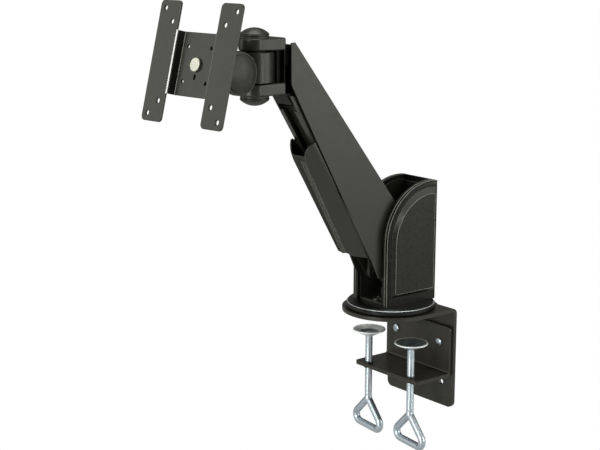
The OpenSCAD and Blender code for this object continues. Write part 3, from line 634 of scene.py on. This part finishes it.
def clamp_pad(side):
    """A pressed cup on the end of a clamp screw: a near-white painted reflection on its rim, a darker painted
    reflection in its cup.
    """
    bm = bmesh.new()
    profile = rounded([(3.05, 0, 0.2), (7.8, 0, 1.2), (16.0, 4.75, 1.0), (18, 5.15, 0.5), (18, 6.5, 0.45),
                       (15.8, 6.35, 0.9), (10.5, 3.29), (7.4, 1.5, 1.4), (3.05, 1.5, 0.2)], 4)
    lathe(bm, profile)
    # where the painted rim reflection starts: further in on the left pad
    rim_from = 11.5 if side < 0 else 16.6
    half_way, slope, cone_foot = 0.75, 0.578, 3.65    # between the cup's inside and its underside

    def finish_of(mid, r):
        if r > rim_from:
            return 1
        return 2 if mid.z > max(half_way, slope * r - cone_foot) else 0

    paint(bm, finish_of)
    name = side_name(side)
    place = Matrix.Translation((side * CLAMP_X, 0, -35.9))
    publish(bm, name + "_pad", place, name + "_clamp_pad", angle=40, extra=(painted_reflection_metal, dark_reflection_metal))


def disc():
    """The turntable: a moulded disc with a stepped rim."""
    bm = bmesh.new()
    bore, deck = 6.05, 6.6
    profile = rounded([(bore, 0), (47.2, 0, 0.6), (48, 0.9, 0.4), (48, 3.5, 0.45), (47.2, 4.4, 0.4),
                       (46.0, 4.6, 0.2), (46.0, 5.9, 0.3), (45.3, deck, 0.35), (43.9, deck, 0.1),
                       (43.6, 6.25, 0.1), (42.6, 6.25, 0.1), (42.3, deck, 0.1), (bore, deck)], 4)
    lathe(bm, profile, 160)
    publish(bm, "turntable", Matrix.Translation((0, 0, 4.6)), "turntable_disc", angle=40)


def highlight_ring():
    """A pale metal ring in the turntable's step: a painted highlight along the disc's rim."""
    bm = bmesh.new()
    inner, outer = 46.1, 47.05
    profile = [(inner, 0, 0.1), (outer, 0, 0.15), (outer, 0.25, 0.2), (46.5, 0.6, 0.25), (inner, 0.6, 0.1)]
    lathe(bm, rounded(profile, 3), 180)
    publish(bm, "bright_ring", Matrix.Translation((0, 0, 9.3)), "trim_ring", highlight_trim_metal, angle=40)


# ---------------------------------------------------------------- clamp screws


def clamp_screw(side):
    """A threaded rod with a neck for its pad, and a triangular handle bent from rod."""
    bm = bmesh.new()
    end, tall, half = -109.5, 32.0, 33.4         # the rod's end, the handle's height and half width
    rod, neck = 3.9, 3.0
    thread(bm, 3.98, end + 5, -44.5, depth=0.16)
    lathe(bm, rounded([(0, -46), (rod, -46), (rod, -36.6, 0.5), (neck, -36.0, 0.2), (neck, -34.3, 0.1),
                       (4.2, -34.25, 0.25), (3.3, -33.15, 0.4), (0, -33.0)], 4), 40)
    lathe(bm, [(0, end - 2), (rod, end - 2), (rod, end + 6), (0, end + 6)], 40)
    low = end - tall
    loop = rounded([(0, end, 5.2), (-half, low, 7.0), (half, low, 7.0)], 10)
    sweep(bm, [(x, 0, z) for x, z in loop], 3.95, 24, closed=True)
    lathe(bm, rounded([(0, end - 3.2), (3.4, end - 3.4, 1.0), (4.55, end - 0.8, 1.2), (3.8, end + 4, 1.0),
                       (0, end + 4)], 4), 40)
    name = side_name(side)
    place = Matrix.Translation((side * CLAMP_X, 0, 0)) @ Matrix.Rotation(math.radians(-7.0), 4, "Z")
    publish(bm, name + "_screw", place, name + "_clamp_screw", angle=50)


# ---------------------------------------------------------------- turret panels


def panel_line(front, top, foot, rear, steps=40):
    """Outline of a side panel as (y, z), anticlockwise seen from +X."""
    cy, foot_r = 30.7, 1.2
    r = cy + front
    cz = top - r
    last = math.acos((rear - cy) / r)
    turns = [last + (math.pi - last) * k / steps for k in range(steps + 1)]
    arc = [(cy + r * math.cos(t), cz + r * math.sin(t)) for t in turns]
    corners = rounded([(-front, cz), (-front, foot, foot_r), (rear, foot, foot_r), (rear, arc[0][1])], 4)
    return corners[1:-1] + arc


def side_panel(side):
    """A raised panel: loops that climb outwards in x, closed at both ends, with a bead on its brow, pale as a
    painted highlight.
    """
    base = panel_line(24.2, 134.6, 21.0, 38.0)
    top = panel_line(19.6, 127.6, 24.6, 34.6)

    def between(k):
        return [(a[0] + (b[0] - a[0]) * k, a[1] + (b[1] - a[1]) * k) for a, b in zip(base, top)]

    rows = [(inset(base, 0.1), 26.4), (base, 26.5), (base, 26.8), (inset(base, 0.12), 26.98),
            (inset(base, 0.5), 27.08), (between(0.12), 27.12), (between(0.93), 29.05),
            (between(0.985), 29.26), (inset(top, 0.35), 29.36), (inset(top, 0.9), 29.4)]
    bm = bmesh.new()
    rings = [[bm.verts.new((y, z, x)) for y, z in loop] for loop, x in rows]
    n = len(base)
    for a, b in zip(rings, rings[1:]):
        for j in range(n):
            k = (j + 1) % n
            bm.faces.new((a[j], a[k], b[k], b[j]))
    for ring in (rings[0], rings[-1]):
        for tri in tessellate_polygon([[v.co for v in ring]]):
            bm.faces.new([ring[i] for i in tri])
    bead, bead_x, bead_r = bmesh.new(), 29.25, 0.26
    sweep(bead, [(y, z, bead_x) for y, z in top], bead_r, 8, closed=True, side=Vector((0, 0, 1)))
    # the bead is pale: a painted highlight
    join(bm, bead, index=1)
    name = side_name(side)
    publish(bm, name + "_panel", mirrored(side) @ SIDEWAYS, "side_panel_" + name, panel_plastic, angle=24,
            extra=(rib_highlight_plastic,))


def turret_ribs(side):
    """Fine beads, pale as a painted highlight, on a band darkened as painted shade, that follows the shell's
    front and arched edge.
    """
    bm = bmesh.new()
    low, cy, cz, radius, rear = 12.0, 31.5, 79.5, 61.5, 38.5

    def line(r, steps=44):
        last = math.acos((rear - cy) / r)
        turns = [math.pi - (math.pi - last) * k / steps for k in range(steps + 1)]
        return [(cy - r, low)] + [(cy + r * math.cos(t), cz + r * math.sin(t)) for t in turns]

    def bead(x, r):
        sweep(bm, [(side * x, y, z) for y, z in line(r)], 0.36, 10, side=Vector((1, 0, 0)))

    band = bmesh.new()
    inner_x, outer_x = 25.9, 26.14
    rows = []
    for r, x in ((radius - 0.3, inner_x), (radius - 0.35, outer_x),
                 (radius - 4.4, outer_x), (radius - 4.45, inner_x)):
        rows.append([band.verts.new((side * x, y, z)) for y, z in line(r)])
    for a, b in zip(rows, rows[1:] + rows[:1]):
        for j in range(len(a) - 1):
            band.faces.new((a[j], a[j + 1], b[j + 1], b[j]))
    for j in (0, -1):
        band.faces.new([row[j] for row in rows])
    # the band is near black: painted shade
    join(bm, band, index=1)
    bead(26.4, radius - 0.3)
    bead(26.4, radius - 2.9)
    bead(23.3, radius + 0.15)
    publish(bm, side_name(side) + "_edge_ribs", ONE, None, rib_highlight_plastic, body="turret",
            slot_name="turret_plastic", extra=(painted_shade_plastic,))


# ---------------------------------------------------------------- yoke


def yoke():
    """Two fork ears for the swivel bolt, a web between them and a tang for the links; the web, block and tang
    near black as painted shade.
    """
    bm = bmesh.new()
    ear, back = 15.5, -153.6
    nose = [(ear * math.cos(t), HEAD_Y + ear * math.sin(t)) for t in (-math.pi * k / 28 for k in range(29))]
    end = rounded([(-ear, HEAD_Y + 1), (-ear, back, 3.0), (ear, back, 3.0), (ear, HEAD_Y + 1)])[1:-1]
    for low in (243.0, 286.0):
        prism(bm, nose + end, [ring_loop(0, HEAD_Y, 5.0)], low, low + 12, 1.7, 5)
    core = bmesh.new()
    web, block = 8, 12.6                         # half widths
    prism(core, rounded([(-web, -160.4, 0.8), (web, -160.4, 0.8), (web, -153.0), (-web, -153.0)]), [],
          253.0, 288.0, 0.1, 1)
    prism(core, rounded([(-block, -155.2), (block, -155.2), (block, -145.7, 0.8), (-block, -145.7, 0.8)]), [],
          243.3, 291.0, 0.6, 2)
    # the web and block take the near-black finish: painted shade
    join(bm, core, index=1)
    tang = bmesh.new()
    pin_y, high_pin, low_pin = -137.88, 265.05, 237.05
    outline = rounded([(-154, 272.05), (pin_y, 272.05, 2.0), (-130.88, high_pin, 3.0), (-131.38, low_pin, 3.0),
                       (pin_y, 230.55, 3.0), (-144.88, 232.05, 2.0), (-154, 245)], 5)
    prism(tang, outline, [ring_loop(pin_y, high_pin, 4.05), ring_loop(pin_y, low_pin, 3.0, 28)],
          -block, block, 0.5, 2)
    # the tang takes the near-black finish: painted shade
    join(bm, tang, SIDEWAYS, 1)
    publish(bm, "yoke_casting", ONE, "yoke", angle=30, extra=(painted_shade_plastic,))


# ---------------------------------------------------------------- cable cover


def cover():
    """A trough with ribs along its floor and a round-cornered upper end, in the link's (x, n, s)."""
    wide, knee = 18.4, -25.4                     # half width, and where the walls start to lean in
    slope = math.tan(math.radians(33))
    stations = 26
    corner_s, corner_n, corner_r = 147.5, -23.7, 13.2      # the upper end's round corner

    def floor_at(s):
        return -43.4 + (s - 31) * 6.2 / 137

    def low_end(n):
        if n > -28.2:
            return 13.0
        return 13 + (-28.2 - n) * 9 / 9.8 if n > -38 else 22 + (-38 - n) * 9 / 5.4

    def high_end(n):
        if n > corner_n:
            return corner_s + corner_r
        return corner_s + math.sqrt(max(0.0, corner_r ** 2 - (n - corner_n) ** 2))

    def section(s, skin, ribs):
        """Half section from the top edge to the middle: (x, n)."""
        top = -23.0 - (163.5 - s) * 5.2 / 150.5
        low = floor_at(s) + skin
        half = wide - skin
        turn = knee - 0.35
        reach = half - slope * (knee - low)
        pts = [(half, top), (half, top - 0.6), (half, turn + 0.5), (half - 0.25, turn - 0.6)]
        for k in range(1, 11):
            n = turn - 0.6 + (low + 1.2 - turn + 0.6) * k / 11
            pts.append((half - slope * (knee - n), n))
        pts += [(reach + 0.55, low + 0.75), (reach - 0.1, low + 0.18)]
        step = (reach - 1.2) / 12
        for k in range(13):
            x = reach - 1.2 - step * k
            groove = 0.9 if ribs and k % 2 == 1 else 0.0
            pts += [(x + step * 0.22, low + groove), (x - step * 0.22, low + groove)]
        return pts

    def skin_rows(bm, skin, ribs):
        """Rows of points from the lower end to the upper one, each across the whole width."""
        rows = []
        for u in range(stations + 1):
            row = []
            for i in range(len(section(90, skin, ribs))):
                s = 13 + 145 * u / stations
                for _ in range(6):
                    n = section(s, skin, ribs)[i][1]
                    a, b = low_end(n), high_end(n)
                    s = a + (b - a) * u / stations
                row.append((*section(s, skin, ribs)[i], s))
            row += [(-x, n, s) for x, n, s in row[::-1]]
            rows.append([bm.verts.new(p) for p in row])
        return rows

    bm = bmesh.new()
    outer = skin_rows(bm, 0.0, True)
    inner = skin_rows(bm, 1.7, False)
    for rows in (outer, [row[::-1] for row in inner]):
        for a, b in zip(rows, rows[1:]):
            for i in range(len(a) - 1):
                bm.faces.new((a[i], a[i + 1], b[i + 1], b[i]))
    for end in (0, -1):
        o, n = outer[end], inner[end]
        for i in range(len(o) - 1):
            bm.faces.new((o[i], n[i], n[i + 1], o[i + 1]))
    for o1, o2, n1, n2 in zip(outer, outer[1:], inner, inner[1:]):
        for i in (0, -1):
            bm.faces.new((o1[i], o2[i], n2[i], n1[i]))

    def add_walls(outline, x0, x1, r):
        """A flat piece drawn as (s, n), on both sides of the middle."""
        for side in (-1, 1):
            wall = bmesh.new()
            prism(wall, rounded(outline, 4), [], x0, x1, r)
            join(bm, wall, Matrix(((0, 0, side, 0), (0, 1, 0, 0), (1, 0, 0, 0), (0, 0, 0, 1))))

    for s in (54, 132):                          # the legs that snap into the lower link
        add_walls([(s - 4, -30.5), (s + 4, -30.5), (s + 4, -16.4, 1.2), (s - 4, -16.4, 1.2)], 11.85, 13.65, 0.3)
    add_walls([(30, -28.5), (159.7, -24.4, 1.0), (159.7, -18.5, 1.5), (30, -20, 1.5)], 15.35, 16.6, 0.25)
    for k in range(4):
        line = []
        for s in (32.5, 146.5):
            low = floor_at(s)
            line.append((wide - slope * (knee - low) - 0.9 - 2.1 * k, low - 0.12, s))
        bead = bmesh.new()
        sweep(bead, line, 0.3, 8)
        # the beads are pale: a painted highlight
        join(bm, bead, index=1)
    publish(bm, "cable_trough", LINK, "cable_cover", angle=26, extra=(rib_highlight_plastic,))


screen_plate()
pivot_head()
for hand in (-1, 1):
    tilt_cap(hand)
    clamp_pad(hand)
    clamp_screw(hand)
    side_panel(hand)
    turret_ribs(hand)
yoke()
bolt_cap("top_cap", 298, 1)
bolt_cap("bottom_cap", 243, -1)
disc()
highlight_ring()
cover()

# ---------------------------------------------------------------- studio (metres)

scene = bpy.context.scene
scene.view_settings.view_transform = "Standard"
WHITE = (1, 1, 1, 1)
LAMP = (0.985, 1.0, 0.93)
MIDDLE = (0.0, -0.12, 0.1)


def white_to_camera(tree, lit, seen, target):
    """Shows one shader to the camera and leaves the other to light the object."""
    path = tree.nodes.new("ShaderNodeLightPath")
    mix = tree.nodes.new("ShaderNodeMixShader")
    tree.links.new(path.outputs["Is Camera Ray"], mix.inputs[0])
    tree.links.new(lit.outputs[0], mix.inputs[1])
    tree.links.new(seen.outputs[0], mix.inputs[2])
    tree.links.new(mix.outputs[0], target.inputs["Surface"])


def backdrop():
    mat = bpy.data.materials.new("floor_pale")
    mat.use_nodes = True
    t = mat.node_tree
    bsdf = t.nodes["Principled BSDF"]
    set_socket(bsdf, "Base Color", (0.55, 0.55, 0.55, 1.0))
    set_socket(bsdf, "Roughness", 0.9)
    glow = t.nodes.new("ShaderNodeEmission")
    set_socket(glow, "Color", WHITE)
    white_to_camera(t, bsdf, glow, t.nodes["Material Output"])
    mesh = bpy.data.meshes.new("floor")
    half, z = 40.0, -0.30
    corners = [(-half, -half, z), (half, -half, z), (half, half, z), (-half, half, z)]
    mesh.from_pydata(corners, [], [(0, 1, 2, 3)])
    mesh.materials.append(mat)
    floor = bpy.data.objects.new("floor", mesh)
    scene.collection.objects.link(floor)


def world_light():
    world = bpy.data.worlds.new("studio")
    scene.world = world
    world.use_nodes = True
    t = world.node_tree
    t.nodes.clear()
    seen = t.nodes.new("ShaderNodeBackground")
    set_socket(seen, "Color", WHITE)
    lit = t.nodes.new("ShaderNodeBackground")
    set_socket(lit, "Color", (1.0, 1.0, 0.94, 1))
    set_socket(lit, "Strength", 0.16)
    white_to_camera(t, lit, seen, t.nodes.new("ShaderNodeOutputWorld"))


def area_light(name, place, size, power):
    data = bpy.data.lights.new(name, "AREA")
    data.shape = "RECTANGLE"
    data.size, data.size_y = size
    data.energy = power
    data.color = LAMP
    o = bpy.data.objects.new(name, data)
    o.location = place
    o.rotation_mode = "QUATERNION"
    o.rotation_quaternion = (Vector(MIDDLE) - Vector(place)).to_track_quat("-Z", "Y")
    scene.collection.objects.link(o)


backdrop()
world_light()
area_light("left_box", (-1.45, -1.75, 0.75), (1.7, 1.9), 13)
area_light("right_box", (1.6, 1.15, 0.7), (1.5, 1.9), 21)
area_light("side_strip", (1.93, 0.12, 0.5), (0.22, 1.5), 9)
area_light("front_strip", (0.35, -2.2, 0.5), (0.7, 1.8), 40)
area_light("top", (0.0, -0.1, 2.0), (1.4, 1.2), 26)

# ---------------------------------------------------------------- camera


def camera(place, azimuth, elevation, roll, lens):
    az, el, roll = (math.radians(a) for a in (azimuth, elevation, roll))
    back = Vector((math.sin(az) * math.cos(el), -math.cos(az) * math.cos(el), math.sin(el)))
    level = Vector((0, 0, 1)).cross(back).normalized()
    upright = back.cross(level)
    right = level * math.cos(roll) + upright * math.sin(roll)
    up = -level * math.sin(roll) + upright * math.cos(roll)
    data = bpy.data.cameras.new("camera")
    data.sensor_width = 36.0
    data.lens = lens
    data.clip_start, data.clip_end = 0.05, 50.0
    o = bpy.data.objects.new("camera", data)
    o.matrix_world = Matrix.Translation(place) @ Matrix((right, up, back)).transposed().to_4x4()
    scene.collection.objects.link(o)
    scene.camera = o


camera((1.0529, -0.9623, 0.3933), azimuth=51.5, elevation=11.95, roll=0.19, lens=82.04)
